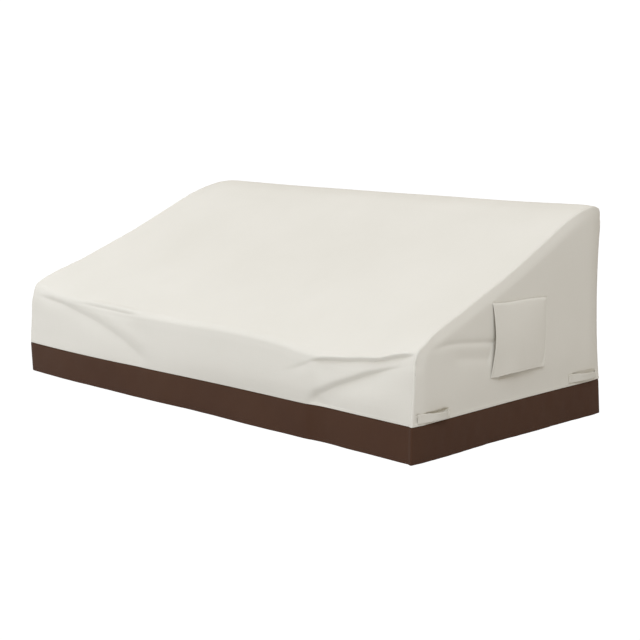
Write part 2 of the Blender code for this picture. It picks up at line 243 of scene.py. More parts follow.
def crease_height(across, up, crease):
    """Height of one crease at places on its panel."""
    corners = np.array(crease.path) / 1000
    path = curve_at(np.linspace(0, 1, len(corners)), corners, np.linspace(0, 1, 41))
    starts, steps = path[:-1], np.diff(path, axis=0)
    near = np.full(len(across), np.inf)
    signed, place = np.zeros(len(across)), np.zeros(len(across))
    for i, (start, step) in enumerate(zip(starts, steps)):
        along = np.clip(((across - start[0]) * step[0] + (up - start[1]) * step[1])
                        / (step @ step), 0, 1)
        gap_x, gap_y = across - start[0] - along * step[0], up - start[1] - along * step[1]
        distance = np.hypot(gap_x, gap_y)
        closer = distance < near
        above = np.sign(step[0] * gap_y - step[1] * gap_x)
        near = np.where(closer, distance, near)
        signed = np.where(closer, distance * above, signed)
        place = np.where(closer, (i + along) / len(starts), place)
    width = 1 + (crease.grow - 1) * place
    strength = ease(place, 0, crease.start) * (1 - ease(place, 1 - crease.end, 1))
    signed = signed + LOWER * crease.above * width
    wall = np.where(signed > 0, crease.above, crease.below) * width
    trough = crease.depth * np.exp(-(np.abs(signed) / wall) ** 1.5)
    from_ridge = signed / width - crease.above - crease.ridge_width
    return strength * (crease.ridge * np.exp(-(from_ridge / crease.ridge_width) ** 2) - trough)


def relief(across, up, creases, patches):
    """Height of all creases and soft patches of a panel."""
    height = np.zeros(len(across))
    for crease in creases:
        height = height + crease_height(across, up, crease)
    for middle, middle_up, rise, reach, reach_up in patches:
        spread = ((across - middle) / reach) ** 2 + ((up - middle_up) / reach_up) ** 2
        height = height + rise * np.exp(-spread)
    return height


def waver(across, up, height, length, seed):
    """Slow unevenness that all worn cloth has: a sum of a few long waves, the same every run."""
    pick = np.random.default_rng(seed)
    total = np.zeros(len(across))
    waves = 7
    for _ in range(waves):
        turn, phase = pick.uniform(0, np.pi), pick.uniform(0, 2 * np.pi)
        size = length * pick.uniform(0.6, 1.6)
        total += np.cos(2 * np.pi * (across * np.cos(turn) + up * np.sin(turn)) / size + phase)
    return height * total / np.sqrt(waves)


# %% [markdown]
# ## Seams
# Two panels are sewn together and their edges turned in, so each surface rolls down into the seam
# and leaves a fine valley. Above the skirt the turned-in cloth is stitched flat: it makes a strip
# that stands up by less than a millimetre and catches the light.

# %% Seams
SEAM_TURN = (0.002, 0.0018)  # radius and reach with which a panel turns into its seam
FOLD_TURN = (0.0015, 0.0014)  # the same at a folded edge
END_TURN = (0.006, 0.004)  # and where an end panel goes over what it covers
FELL_HEIGHT, FELL_WIDTH = 0.0004, 0.009  # the strip of turned-in cloth
NEAR_EDGE = np.array([0.0, 0.0003, 0.0009, 0.0018, 0.003, 0.0045, 0.0065, 0.0085, 0.0105,
                      0.014, 0.019, 0.026])


def fell(distance):
    """Height of the strip of turned-in cloth beside a seam."""
    return FELL_HEIGHT * (1 - ease(distance, FELL_WIDTH - 0.002, FELL_WIDTH))


# %% [markdown]
# ## The shapes of the panels
# The end panels are nearly flat, lean in a little and round over towards their seams. The long
# panel hangs between them: its section changes from the ends to the middle, where it sags. The
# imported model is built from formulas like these, with coarser folds.


# %% The end panels
TOP_BEVEL = (0.32, 0.017, 0.026)  # slope, width and fade of the leaning strip at the top seam
FRONT_BEVEL = (0.17, 0.022, 0.034)  # the same at the front seam
FRONT_TURN = (0.0012, 0.0008)  # radius and reach of the turn into the front seam
FRONT_SHARE, FRONT_REACH = 0.4, 0.12  # share of the top bevel at the front, full from here on
RELIEF_EASE = 0.03  # the creases fade out this close to a seam


def edges_of_end(y, z):
    """Distances from the top seam, the front seam and the back seam of an end panel."""
    from_top = np.full(len(y), np.inf)
    for seam_y, seam_z in TOP_SEAM:
        from_top = np.minimum(from_top, np.hypot(y - seam_y, z - seam_z))
    from_front = y - np.interp(z, END[:FRONT_CORNER + 1, 1], END[:FRONT_CORNER + 1, 0])
    return from_top, from_front, back_y(z) - y


def back_y(z):
    """The back of the cover at a height."""
    return DEPTH - BACK_LEAN * z / BACK_EDGE


def end_x(side, y, z, creases=END_CREASES + SLOTS):
    """Outside of an end panel, side being 1 on the right and -1 on the left."""
    from_top, from_front, from_back = edges_of_end(y, z)
    to_back = 1 - (1 - TOP_ROLL_BACK) * ease(y, 0.75 * DEPTH, DEPTH)
    to_back = to_back * (FRONT_SHARE + (1 - FRONT_SHARE) * ease(y, 0.01, FRONT_REACH))
    height = np.clip((z - HEM_EASE) / (BACK_EDGE - HEM_EASE), 0, 1)
    inset = bevel(from_top, *TOP_BEVEL) * to_back + turn_in(from_top, *END_TURN)
    inset = inset + bevel(from_front, *FRONT_BEVEL) + turn_in(from_front, *FRONT_TURN)
    inset = inset + roll(from_back, REAR_ROLL * np.sqrt(np.sin(np.pi * height)), REAR_ROLL_WIDTH)
    lean = LEAN[side] * (np.clip(z, 0, None) / BACK_EDGE) ** 1.5 * ease(y, -0.05, 0.25)
    x = WIDTH / 2 - lean - inset
    inside = ease(np.minimum(np.minimum(from_top, from_front), from_back), 0, RELIEF_EASE)
    if side < 0:
        creases = [crease for crease in creases if crease in SLOTS]
    return side * (x + inside * relief(y, z, creases, END_PATCHES if side > 0 else ()))


def end_panel(side):
    """An end panel's outside; columns follow its top seam, rows rise from the skirt to it."""
    def surface(s, rise):
        seam = curve_at(KNOTS, END, s)
        y_first, y_last = curve_at(KNOTS, END, np.array([KNOTS[FRONT_CORNER], KNOTS[-1]]))[:, 0]
        foot_y = back_y(SKIRT) * (seam[:, 0] - y_first) / (y_last - y_first)
        y = foot_y + rise * (seam[:, 0] - foot_y)
        z = SKIRT + SEAM_GAP + rise * (seam[:, 1] - SKIRT - SEAM_GAP)
        nearest = np.minimum.reduce(edges_of_end(y, z))
        foot = z - SKIRT - SEAM_GAP
        depth = turn_in(np.clip(nearest, 0, None), *SEAM_TURN) + turn_in(foot, *FOLD_TURN)
        return np.column_stack([end_x(side, y, z) + side * (fell(foot) - depth), y, z])
    return surface


# %% The long panel
def panel_base(u, s):
    """The long panel's section; u runs -1 to 1 across, s along it from the front seam."""
    end, middle = curve_at(KNOTS, END, s), curve_at(HANG_KNOTS, MIDDLE, s)
    sag = (1 - np.abs(u) ** SAG_POWER)[:, None]
    yz = end * (1 - sag) + middle * sag
    left, right = end_x(-1, end[:, 0], end[:, 1]), end_x(1, end[:, 0], end[:, 1])
    x = (left + right) / 2 + u * (right - left) / 2
    return np.column_stack([x, yz[:, 0], yz[:, 1] - edge_drop(x, s)])


def panel_crowned(u, s, extra=lambda base: 0):
    """The section with its crown between the end seams, and extra height along its normal."""
    base = panel_base(u, s)
    step = 1e-4
    across = panel_base(u + step, s) - panel_base(u - step, s)
    along = panel_base(u, s + step) - panel_base(u, s - step)
    normal = np.cross(across, along)
    normal = normal / np.linalg.norm(normal, axis=1)[:, None]
    from_edge = (1 - np.abs(u)) * WIDTH / 2
    height = CROWN - roll(from_edge, CROWN, CROWN_WIDTH) + extra(base)
    return base + normal * np.reshape(height, (-1, 1))


HELD, HELD_REACH = 0.8, 0.012  # share of the creases at the front seam, all of them from here


def front_relief(x, s, from_edge):
    """Creases and soft patches of the long panel; the seam holds the creases back."""
    near_seam = HELD + (1 - HELD) * ease(s, 0, HELD_REACH)
    creases = relief(x, s, FRONT_CREASES, ()) * near_seam
    return (creases + relief(x, s, (), FRONT_PATCHES)) * ease(from_edge, 0, 0.02)


def long_panel(u, s):
    """The outside of the long panel with creases, slow unevenness and seams."""
    from_edge = (1 - np.abs(u)) * WIDTH / 2

    def extra(base):
        folds = front_relief(base[:, 0], s, from_edge)
        slow = waver(base[:, 0], s, height=0.0005, length=0.5, seed=3)
        slow = slow * ease(from_edge, 0, 0.1) * ease(s, 0.2, 0.5)
        depth = turn_in(from_edge, *SEAM_TURN) + turn_in(s, *FOLD_TURN)
        return folds + slow + fell(s) - depth
    return panel_crowned(u, s, extra)


ORIGIN = np.array([0, 0.9448, 0.7099])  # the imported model's: under the middle of the ledge


# %% [markdown]
# The cover isn't filled to its rear corners, so the cloth there settles a little. Each row below
# lowers a neighbourhood: its middle across and back, its reach both ways, and how much it settles.

# %% Slumped corners
SLUMPS = ((-0.935, 0.930, 0.060, 0.130, 0.013), (0.998, 0.950, 0.030, 0.060, 0.004))


def settle(points):
    """Points of the cover with its rear corners lowered."""
    down = np.zeros(len(points))
    for x, y, reach_x, reach_y, settles in SLUMPS:
        spread = ((points[:, 0] - x) / reach_x) ** 2 + ((points[:, 1] - y) / reach_y) ** 2
        down = down + settles * np.exp(-spread)
    down = down * ease(points[:, 2], 0.3, BACK_EDGE)
    return points - down[:, None] * np.array([0, 0, 1])


# %% The back panel
def back_panel(u, rise):
    """The back panel's outside, a little billowed; u runs -1 to 1, rise from skirt to top."""
    top = panel_crowned(u, np.full(len(u), KNOTS[-1]))
    foot_z = SKIRT + SEAM_GAP
    z = foot_z + rise * (top[:, 2] - SEAM_GAP - foot_z)
    left, right = end_x(-1, back_y(z), z), end_x(1, back_y(z), z)
    x = (left + right) / 2 + u * (right - left) / 2
    y = back_y(SKIRT) + rise * (top[:, 1] - back_y(SKIRT))
    bulge = BACK_BILLOW * np.sin(np.pi * rise) * (1 - u**2)
    slow = waver(x, z, height=0.002, length=0.45, seed=8) * np.sin(np.pi * rise) * (1 - u**2)
    from_edge = (1 - np.abs(u)) * WIDTH / 2
    depth = turn_in(from_edge, *SEAM_TURN) + turn_in(z - foot_z, *FOLD_TURN)
    return np.column_stack([x, y + bulge + slow + fell(z - foot_z) - depth, z])


# %% [markdown]
# ## Laying a cloth
# A piece of cloth is a grid of quads laid on its surface and thickened inwards with Solidify. The
# UV map holds the flat cloth in metres, so the weave keeps its true size and runs with the grid.
# Two more values are kept at each point: how near it is to the seams across and along the cloth,
# which the material uses to gather the cloth beside the stitches.

# %% Laying a cloth
PULL_REACH = 0.020  # how far the gathering reaches from a seam
SHARP = np.radians(60)  # a steeper bend than this is shaded as an edge
cover = bpy.data.collections.new("sofa_cover")
bpy.context.scene.collection.children.link(cover)


def finished_piece(name, maker):
    """What an object and its modifiers make, as a new object that is one plain mesh."""
    made = bpy.data.meshes.new_from_object(
        maker.evaluated_get(bpy.context.evaluated_depsgraph_get()))
    maker.modifiers.clear()
    bpy.data.objects.remove(maker)
    made.name = name
    piece = bpy.data.objects.new(name, made)
    cover.objects.link(piece)
    return piece


def lay_cloth(name, columns, rows, surface, thickness, finish):
    """A sheet of cloth with its UV map in metres, finished as one plain mesh."""
    place_across, place_along = np.meshgrid(columns, rows)
    points = settle(surface(place_across.ravel(), place_along.ravel())) - ORIGIN
    grid = points.reshape(len(rows), len(columns), 3)
    across, along = (np.concatenate([[0], np.cumsum(np.linalg.norm(np.diff(line, axis=0), axis=1))])
                     for line in (grid[len(rows) // 2], grid[:, len(columns) // 2]))
    corner = np.arange(grid[..., 0].size).reshape(grid.shape[:2])
    faces = np.stack([corner[:-1, :-1], corner[:-1, 1:], corner[1:, 1:], corner[1:, :-1]], axis=-1)
    mesh = bpy.data.meshes.new(name)
    mesh.from_pydata(points.tolist(), [], faces.reshape(-1, 4).tolist())
    flat = np.stack(np.meshgrid(across, along), axis=-1).reshape(-1, 2)
    corners = np.empty(len(mesh.loops), int)
    mesh.loops.foreach_get("vertex_index", corners)
    mesh.uv_layers.new(name="cloth").data.foreach_set("uv", flat[corners].ravel())
    for label, line, size in (("pull_across", flat[:, 0], across[-1]),
                              ("pull_along", flat[:, 1], along[-1])):
        pull = np.exp(-np.minimum(line, size - line) / PULL_REACH)
        mesh.attributes.new(label, "FLOAT", "POINT").data.foreach_set("value", pull)
    raw = bpy.data.objects.new(name + "_raw", mesh)
    cover.objects.link(raw)
    wall = raw.modifiers.new("Cloth", "SOLIDIFY")
    wall.thickness, wall.offset = thickness, -1
    piece = finished_piece(name, raw)
    solid = piece.data
    solid.materials.clear()
    solid.materials.append(finish)
    solid.shade_smooth()
    solid.set_sharp_from_angle(angle=SHARP)
    area = sum(face.area for face in solid.polygons) / 2
    print(f"{name}: {across[-1]:.3f} x {along[-1]:.3f} m, {area:.3f} m2, "
          f"{2 * len(solid.polygons)} triangles")
    return piece, (float(across[-1]), float(along[-1])), area


def dress(piece, node):
    """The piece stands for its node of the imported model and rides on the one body."""
    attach(piece, "root")
    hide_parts(node)


# %% [markdown]
# ## Colours and nodes
# Colours are given as sRGB hex values and turned to the linear light that shaders expect. Adding
# a node with its settings and links is the same few lines each time, so one helper does it, and
# another starts a material.


# %% Colours and nodes
def linear(colour):
    """An sRGB hex colour as linear red, green, blue and alpha."""
    channels = [int(colour[i:i + 2], 16) / 255 for i in (1, 3, 5)]
    return (*[c / 12.92 if c <= 0.04045 else ((c + 0.055) / 1.055) ** 2.4 for c in channels], 1)


def add_node(tree, kind, inputs=None, **settings):
    """Adds a node; inputs maps its sockets to values or to other nodes' outputs."""
    node = tree.nodes.new(kind)
    for name, value in settings.items():
        setattr(node, name, value)
    for socket, value in (inputs or {}).items():
        if isinstance(value, bpy.types.NodeSocket):
            tree.links.new(value, node.inputs[socket])
        else:
            node.inputs[socket].default_value = value
    return node


def new_material(name, inputs):
    """A material, its node tree and its shader, with the shader's inputs set."""
    material = bpy.data.materials.new(name)
    material.use_nodes = True
    shader = material.node_tree.nodes["Principled BSDF"]
    for socket, value in inputs.items():
        shader.inputs[socket].default_value = value
    return material, material.node_tree, shader


# %% [markdown]
# ## Coated polyester
# The cloth is a 600D polyester in a plain weave with a matte coating. The eye sees an even colour,
# a faint grain of threads that are a little thicker here and thinner there, almost no gloss, and
# tiny gathers where the stitching pulls the cloth in. The threads are really 0.5 mm apart, which is
# too fine to show, so they are drawn 1.4 mm apart. Heights are in millimetres and go into one Bump.

# %% Coated polyester
THREAD_SPACING = 0.0014  # as it is drawn
GATHER_SPACING = 0.012  # between two gathers beside a seam
THICK_AND_THIN = (18, 420)  # changes in a thread for each metre along it and across it
WEAVE, SLUBS, RIPPLES, GATHERS = 0.05, 0.05, 0.3, 0.8  # heights in millimetres


def coated_polyester(name, light, dark, roughness):
    """A plain weave with uneven threads, slow colour changes and gathers beside its seams."""
    material, tree, shader = new_material(name, {
        "Roughness": roughness, "IOR": 1.5, "Specular IOR Level": 0.2, "Sheen Weight": 0.05,
        "Sheen Roughness": 0.5})
    flat = add_node(tree, "ShaderNodeUVMap", uv_map="cloth").outputs["UV"]
    place = add_node(tree, "ShaderNodeTexCoord").outputs["Object"]

    turns = add_node(tree, "ShaderNodeVectorMath", {0: flat, "Scale": np.pi / THREAD_SPACING},
                     operation="SCALE").outputs["Vector"]
    waves = add_node(tree, "ShaderNodeVectorMath", {0: turns}, operation="SINE").outputs["Vector"]
    parts = add_node(tree, "ShaderNodeSeparateXYZ", {"Vector": waves}).outputs
    weave = add_node(tree, "ShaderNodeMath", {0: parts["X"], 1: parts["Y"]},
                     operation="MULTIPLY").outputs["Value"]

    def streaks(stretch):
        """Noise that is drawn out along the cloth or across it."""
        run = add_node(tree, "ShaderNodeMapping", {"Vector": flat, "Scale": (*stretch, 1)})
        return add_node(tree, "ShaderNodeTexNoise", {
            "Vector": run.outputs["Vector"], "Scale": 1.0, "Detail": 1.0}).outputs["Fac"]

    threads = add_node(tree, "ShaderNodeMath", {
        0: streaks(THICK_AND_THIN), 1: streaks(THICK_AND_THIN[::-1])},
        operation="ADD").outputs["Value"]
    clouds = add_node(tree, "ShaderNodeTexNoise", {
        "Vector": place, "Scale": 3.0, "Detail": 2.0}).outputs["Fac"]
    shade = add_node(tree, "ShaderNodeMath", {0: threads, 1: 0.35, 2: clouds},
                     operation="MULTIPLY_ADD").outputs["Value"]
    shade = add_node(tree, "ShaderNodeMath", {0: shade, 1: 0.35}, operation="SUBTRACT")
    colour = add_node(tree, "ShaderNodeMix", {
        "Factor": shade.outputs["Value"], 6: linear(dark), 7: linear(light)}, data_type="RGBA")
    tree.links.new(colour.outputs[2], shader.inputs["Base Color"])

    ripples = add_node(tree, "ShaderNodeTexNoise", {
        "Vector": place, "Scale": 16.0, "Detail": 3.0, "Roughness": 0.45}).outputs["Fac"]
    patterns = [(weave, WEAVE), (threads, SLUBS), (ripples, RIPPLES)]
    for label, stretch in (("pull_across", (20, 1 / GATHER_SPACING)),
                           ("pull_along", (1 / GATHER_SPACING, 20))):
        pull = add_node(tree, "ShaderNodeAttribute", attribute_name=label).outputs["Fac"]
        pulled = add_node(tree, "ShaderNodeMath", {0: streaks(stretch), 1: pull},
                          operation="MULTIPLY")
        patterns.append((pulled.outputs["Value"], GATHERS))
    height = 0.0
    for pattern, size in patterns:
        height = add_node(tree, "ShaderNodeMath", {0: pattern, 1: size, 2: height},
                          operation="MULTIPLY_ADD").outputs["Value"]
    bump = add_node(tree, "ShaderNodeBump", {"Strength": 1.0, "Distance": 0.001, "Height": height})
    tree.links.new(bump.outputs["Normal"], shader.inputs["Normal"])
    return material


cream = coated_polyester("coated_polyester_cream", "#E9E5DB", "#E2DED3", 0.85)
brown = coated_polyester("coated_polyester_brown", "#513726", "#492F21", 0.85)

# %% [markdown]
# ## Cutting the grids
# Long flat stretches need few points, creases and seams need many. Columns and rows are therefore
# spaced by zones, and both ends always get the close spacing of the seams.


# %% Cutting the grids
def spaced(zones):
    """Places along zones of (from, to, spacing)."""
    runs = [np.linspace(low, high, max(1, round((high - low) / step)), endpoint=False)
            for low, high, step in zones]
    return np.concatenate(runs + [[zones[-1][1]]])


def with_edges(places, low, high, edge=NEAR_EDGE):
    """The places between low and high, with close spacing at both ends."""
    inner = places[(places > low + 1.3 * edge[-1]) & (places < high - 1.3 * edge[-1])]
    return np.concatenate([low + edge, inner, high - edge[::-1]])


half = WIDTH / 2
END_HEIGHT, BACK_HEIGHT = 0.50, 0.53  # of the cream cloth, about
across_long = with_edges(spaced([(-half, -0.24, 0.009), (-0.24, 0.42, 0.018),
                                 (0.42, half, 0.007)]), -half, half) / half
along_long = with_edges(spaced([(0, 0.16, 0.0035), (0.16, 0.235, 0.0024), (0.235, 0.32, 0.008),
                                (0.32, KNOTS[SHOULDER], 0.018),
                                (KNOTS[SHOULDER], KNOTS[-1], 0.009)]), 0, KNOTS[-1])
piece, flat, area = lay_cloth("cloth_front_and_top", across_long, along_long, long_panel, CLOTH,
                              cream)
dress(piece, "front_top_panel")

# %% [markdown]
# ## The ends and the back
# Both end panels come from one function, and the left one has its columns turned round so that its
# faces still point outwards. An end is no rectangle, so its flat size is taken from its middle
# lines, and its area is its own. The back is a plain panel that billows a little.

# %% The ends and the back
top_line = np.linspace(KNOTS[FRONT_CORNER], KNOTS[-1], 400)
mouth = np.interp((0.366, 0.400), curve_at(KNOTS, END, top_line)[:, 0], top_line)
end_columns = with_edges(spaced([(KNOTS[FRONT_CORNER], mouth[0], 0.008), (*mouth, 0.0022),
                                 (mouth[1], KNOTS[-1], 0.008)]),
                         KNOTS[FRONT_CORNER], KNOTS[-1],
                         np.union1d(NEAR_EDGE, (0.0122, 0.0155, 0.017, 0.021, 0.0235)))
end_rows = with_edges(spaced([(0, 0.26, 0.0045), (0.26, 1, 0.011)]), 0, 1, NEAR_EDGE / END_HEIGHT)
for side, name in SIDES:
    piece, flat, area = lay_cloth(f"cloth_end_{name}", end_columns[::side], end_rows,
                                  end_panel(side), CLOTH, cream)
    dress(piece, f"side_panel_{name}")

piece, flat, area = lay_cloth(
    "cloth_back", with_edges(spaced([(-half, half, 0.018)]), -half, half)[::-1] / half,
    with_edges(np.arange(0, 1, 0.02), 0, 1, NEAR_EDGE / BACK_HEIGHT), back_panel, CLOTH, cream)
dress(piece, "back_panel")

# %% [markdown]
# ## The skirt
# Four lengths of brown cloth hang from the cream panels. Their top edge lies under the cream, whose
# folded edge stands a millimetre proud of it, and the hem swings in and out a little.

# %% The skirt
TUCK, TUCK_RISE = 0.0014, 0.0035  # how far the skirt lies under the cream, and up under it
HEM_WAVE = 0.003
# how far the hem's corners lie to the right, back and up from where the cut would put them
HEM_SHIFT = {"front left": (0.003, 0.003, 0.001), "front right": (-0.001, 0.000, -0.002),
             "rear right": (0.008, 0.001, -0.006), "rear left": (-0.004, 0.002, -0.002)}
Length = namedtuple("Length", "start facing waves spacing")
SKIRT_LENGTHS = {
    "front": Length("front left", (0, -1, 0), 3.5, 0.009),
    "right": Length("front right", (1, 0, 0), 2.0, 0.009),
    "back": Length("rear right", (0, 1, 0), 3.0, 0.018),
    "left": Length("rear left", (-1, 0, 0), 1.5, 0.018),
}


def skirt(edge):
    """The outside of one length of skirt; t runs along it, rise from the hem to the seam."""
    length = SKIRT_LENGTHS[edge]
    corners = list(HEM_SHIFT)
    begin = np.array(HEM_SHIFT[length.start])
    finish = np.array(HEM_SHIFT[corners[(corners.index(length.start) + 1) % len(corners)]])

    def surface(t, rise):
        u, level, zero = 2 * t - 1, np.full(len(t), SKIRT), np.zeros(len(t))
        if edge == "front":
            top = panel_crowned(u, zero, lambda base: front_relief(
                base[:, 0], zero, (1 - np.abs(u)) * half))
        elif edge == "back":
            top = back_panel(-u, zero)
        else:
            side, place = (1, t) if edge == "right" else (-1, 1 - t)
            y = place * back_y(SKIRT)
            top = np.column_stack([end_x(side, y, level), y, level])
        top[:, 2] = SKIRT
        shift = begin + t[:, None] * (finish - begin)
        wave = HEM_WAVE * np.sin(np.pi * t) * np.sin(2 * np.pi * length.waves * t)
        hem = top + shift + wave[:, None] * np.array(length.facing)
        hem[:, 2] = shift[:, 2]
        place = hem + rise[:, None] * (top - hem)
        from_end = np.minimum(t, 1 - t) * (WIDTH if edge in ("front", "back") else DEPTH)
        depth = TUCK * ease(rise, 0.93, 1) + turn_in(from_end, *SEAM_TURN)
        depth = depth + turn_in(np.clip(rise, 0, None) * SKIRT, *FOLD_TURN)
        slow = waver(t * WIDTH, rise * SKIRT, height=0.0008, length=0.16, seed=20)
        slow = slow * ease(from_end, 0, 0.05)
        return place + (slow - depth)[:, None] * np.array(length.facing)
    return surface


skirt_rows = np.concatenate([NEAR_EDGE / SKIRT, np.linspace(0.28, 0.90, 8),
                             [0.94, 0.97, 1.0, 1 + TUCK_RISE / SKIRT]])
for edge, length in SKIRT_LENGTHS.items():
    size = WIDTH if edge in ("front", "back") else DEPTH
    columns = with_edges(np.arange(0, size, length.spacing), 0, size) / size
    piece, flat, area = lay_cloth(f"cloth_skirt_{edge}", columns, skirt_rows, skirt(edge), CLOTH,
                                  brown)
    dress(piece, f"skirt_{edge}")

# %% [markdown]
# ## The vent hoods
# A hood is one flap, sewn down along its top and its back, and left open at the front and the foot
# so that damp air can leave while rain can't enter. The stitching lies just inside the edge and
# draws a fine line, inside which the flap puffs up a little. The open front bows away from the
# cover, and the foot hangs in an uneven wave with one wide mouth.

# %% The vent hoods
HOOD_FRONT, HOOD_BACK, HOOD_FOOT = 0.367, 0.664, 0.214
HOOD_BOW = 0.009  # how far the open front's edge swings back at mid height
HOOD_TURN = (0.003, 0.0024)  # radius and reach of its folded edge
HOOD_CORNER = (0.022, 0.050)  # how far its lower back corner is rounded, along and up
HOOD_SIZE = (0.29, 0.23)  # along and up, about
HOOD_STAND_OFF = 0.007
TACKED = 0.003  # how much closer its lower front corner lies
SEWN = 0.0006  # from an end panel to what is sewn on it
GROOVE, GROOVE_WIDTH = 0.0016, 0.0028  # the line that the stitching draws
PUFF, PUFF_WIDTH, PILLOW = 0.0034, 0.011, 0.008  # how the flap rises from it, and in all
# along the hood: share, height of its top, how much lower its foot hangs, and its mouth there
HOOD_LINES = np.array((
    (0.00, 0.453, 0.002, 0.0005), (0.10, 0.450, 0.003, 0.0015), (0.22, 0.4475, 0.001, 0.005),
    (0.32, 0.447, -0.001, 0.0085), (0.42, 0.447, 0.000, 0.009), (0.55, 0.447, 0.001, 0.006),
    (0.68, 0.4465, 0.001, 0.005), (0.80, 0.445, 0.002, 0.002), (0.93, 0.443, 0.005, 0.001),
    (1.00, 0.440, 0.005, 0.000)))
# where the hood is sewn to the end panel, from its front along the top and down its back
SEW_CORNERS = np.array((
    (0.374, 0.449), (0.440, 0.443), (0.560, 0.443), (0.645, 0.4395), (0.6595, 0.436),
    (0.6585, 0.361), (0.6555, 0.290), (0.653, 0.262), (0.648, 0.240), (0.640, 0.222)))
SEW_LINE = np.column_stack([np.interp(np.linspace(0, 1, 150), np.linspace(0, 1, 10), line)
                            for line in SEW_CORNERS.T])


def hood(side):
    """The vent hood's outside; t runs from its open front to its back, rise from its foot."""
    def surface(t, rise):
        top, hang, mouth = curve_at(HOOD_LINES[:, 0], HOOD_LINES[:, 1:], t).T
        inside = np.clip(rise, 0, 1)
        front = HOOD_FRONT + HOOD_BOW * np.sin(np.pi * inside) + 0.007 * inside
        y = front + t * (HOOD_BACK - front)
        corner = np.clip(1 - (HOOD_BACK - y) / HOOD_CORNER[0], 0, 1)
        foot = HOOD_FOOT - hang + HOOD_CORNER[1] * (1 - np.sqrt(1 - corner**2))
        z = foot + rise * (top - foot)
        from_sewn = np.full(len(y), np.inf)
        for sewn_y, sewn_z in SEW_LINE:
            from_sewn = np.minimum(from_sewn, np.hypot(y - sewn_y, z - sewn_z))
        loose = (1 - np.exp(-from_sewn / PUFF_WIDTH)) * ease(np.minimum(HOOD_BACK - y, top - z),
                                                            0.004, 0.010)
        puff = PUFF * loose + PILLOW * np.sin(np.pi * inside) * np.sin(np.pi * np.clip(t, 0, 1))
        groove = GROOVE * np.exp(-(from_sewn / GROOVE_WIDTH) ** 2)
        front_gap = HOOD_STAND_OFF * np.sin(np.pi * inside) ** 2 * (1 - t) ** 3
        foot_gap = mouth * (1 - rise) ** 3
        off = SEWN + FLAP_CLOTH + puff - groove + front_gap + foot_gap
        off = off - turn_in(np.clip(t, 0, None) * (HOOD_BACK - HOOD_FRONT), *HOOD_TURN)
        off = off - TACKED * (1 - ease(inside, 0, 0.16)) * (1 - ease(t, 0, 0.10))
        return np.column_stack([end_x(side, y, z, ()) + side * off, y, z])
    return surface


for side, name in SIDES:
    hood_columns = with_edges(np.arange(0, 1, 0.014), 0, 1, NEAR_EDGE / HOOD_SIZE[0])[::side]
    hood_rows = with_edges(np.arange(0, 1, 0.016), 0, 1, NEAR_EDGE / HOOD_SIZE[1])
    piece, flat, area = lay_cloth(f"cloth_vent_hood_{name}", hood_columns, hood_rows, hood(side),
                                  FLAP_CLOTH, cream)
    dress(piece, f"vent_hood_{name}")

# %% [markdown]
# ## The handles
# Each handle is a strip of the same cloth, folded and sewn flat at both ends, with enough slack in
# the middle for a hand.

# %% The handles
Strap = namedtuple("Strap", "front foot length")
HANDLES = {"front": Strap(0.0215, 0.1215, 0.150), "rear": Strap(0.802, 0.126, 0.168)}
STRAP_HEIGHT, STRAP_TAB = 0.030, (0.020, 0.008)
STRAP_SAG, STRAP_DROOP = 0.004, 0.004  # how much lower the loose strap and its rear end hang
STRAP_SIZE = (0.16, 0.034)  # along and up, about
STRAP_RISE = (0.075, 0.022)  # over what length it lifts off, from the front and back
STRAP_OFF_FOOT, STRAP_OFF_TOP = 0.0085, 0.012  # how far it stands off
STRAP_TURN = (0.003, 0.002)  # how its rear end is turned in


def handle(side, place):
    """A handle's outside: two sewn tabs, with the strap standing off between them."""
    strap = HANDLES[place]

    def surface(t, rise):
        along = t * strap.length
        lift = ease(along, STRAP_TAB[0], STRAP_TAB[0] + STRAP_RISE[0])
        lift = lift * ease(strap.length - along, STRAP_TAB[1], STRAP_TAB[1] + STRAP_RISE[1])
        y = strap.front + along
        z = strap.foot + rise * (STRAP_HEIGHT - lift * STRAP_SAG - t * STRAP_DROOP)
        stand_off = STRAP_OFF_FOOT + rise * (STRAP_OFF_TOP - STRAP_OFF_FOOT)
        from_edge = np.minimum(rise, 1 - rise) * STRAP_HEIGHT
        off = SEWN + STRAP_CLOTH + lift * stand_off - turn_in(from_edge, *FOLD_TURN)
        off = off - turn_in(np.clip(strap.length - along, 0, None), *STRAP_TURN)
        return np.column_stack([end_x(side, y, z, ()) + side * off, y, z])
    return surface


for side, name in SIDES:
    for place in HANDLES:
        strap_columns = with_edges(np.arange(0, 1, 0.02), 0, 1, NEAR_EDGE[:9] / STRAP_SIZE[0])
        strap_rows = with_edges(np.arange(0, 1, 0.12), 0, 1, NEAR_EDGE[:6] / STRAP_SIZE[1])
        piece, flat, area = lay_cloth(f"cloth_handle_{name}_{place}", strap_columns[::side],
                                      strap_rows, handle(side, place), STRAP_CLOTH, cream)
        dress(piece, f"handle_{name}_{place}")

# %% [markdown]
# ## The stitching
# Every seam of this cover shows a row of lockstitch. Each visible stitch is a short bead of thread,
# half sunk in the cloth, and the rows simply follow the seams. That is a job for Geometry Nodes:
# the lines of the seams become curves, points are set along them at the stitch length, and a small
# bead is placed at each one, turned along the line and a touch uneven.

# %% The lines to sew
SEAM_IN = 0.0065  # from a seam to its stitches
HEM_IN = 0.012  # from the hem's edge to its stitches
LIE = 0.0001  # how far the middle of a thread lies above the cloth


def line_on(surface, columns, rows):
    """Points along a line on a surface, just above the cloth."""
    step = 1e-4
    here = surface(columns, rows)
    normal = np.cross(surface(columns + step, rows) - here, surface(columns, rows + step) - here)
    return settle(here + LIE * normal / np.linalg.norm(normal, axis=1)[:, None]) - ORIGIN


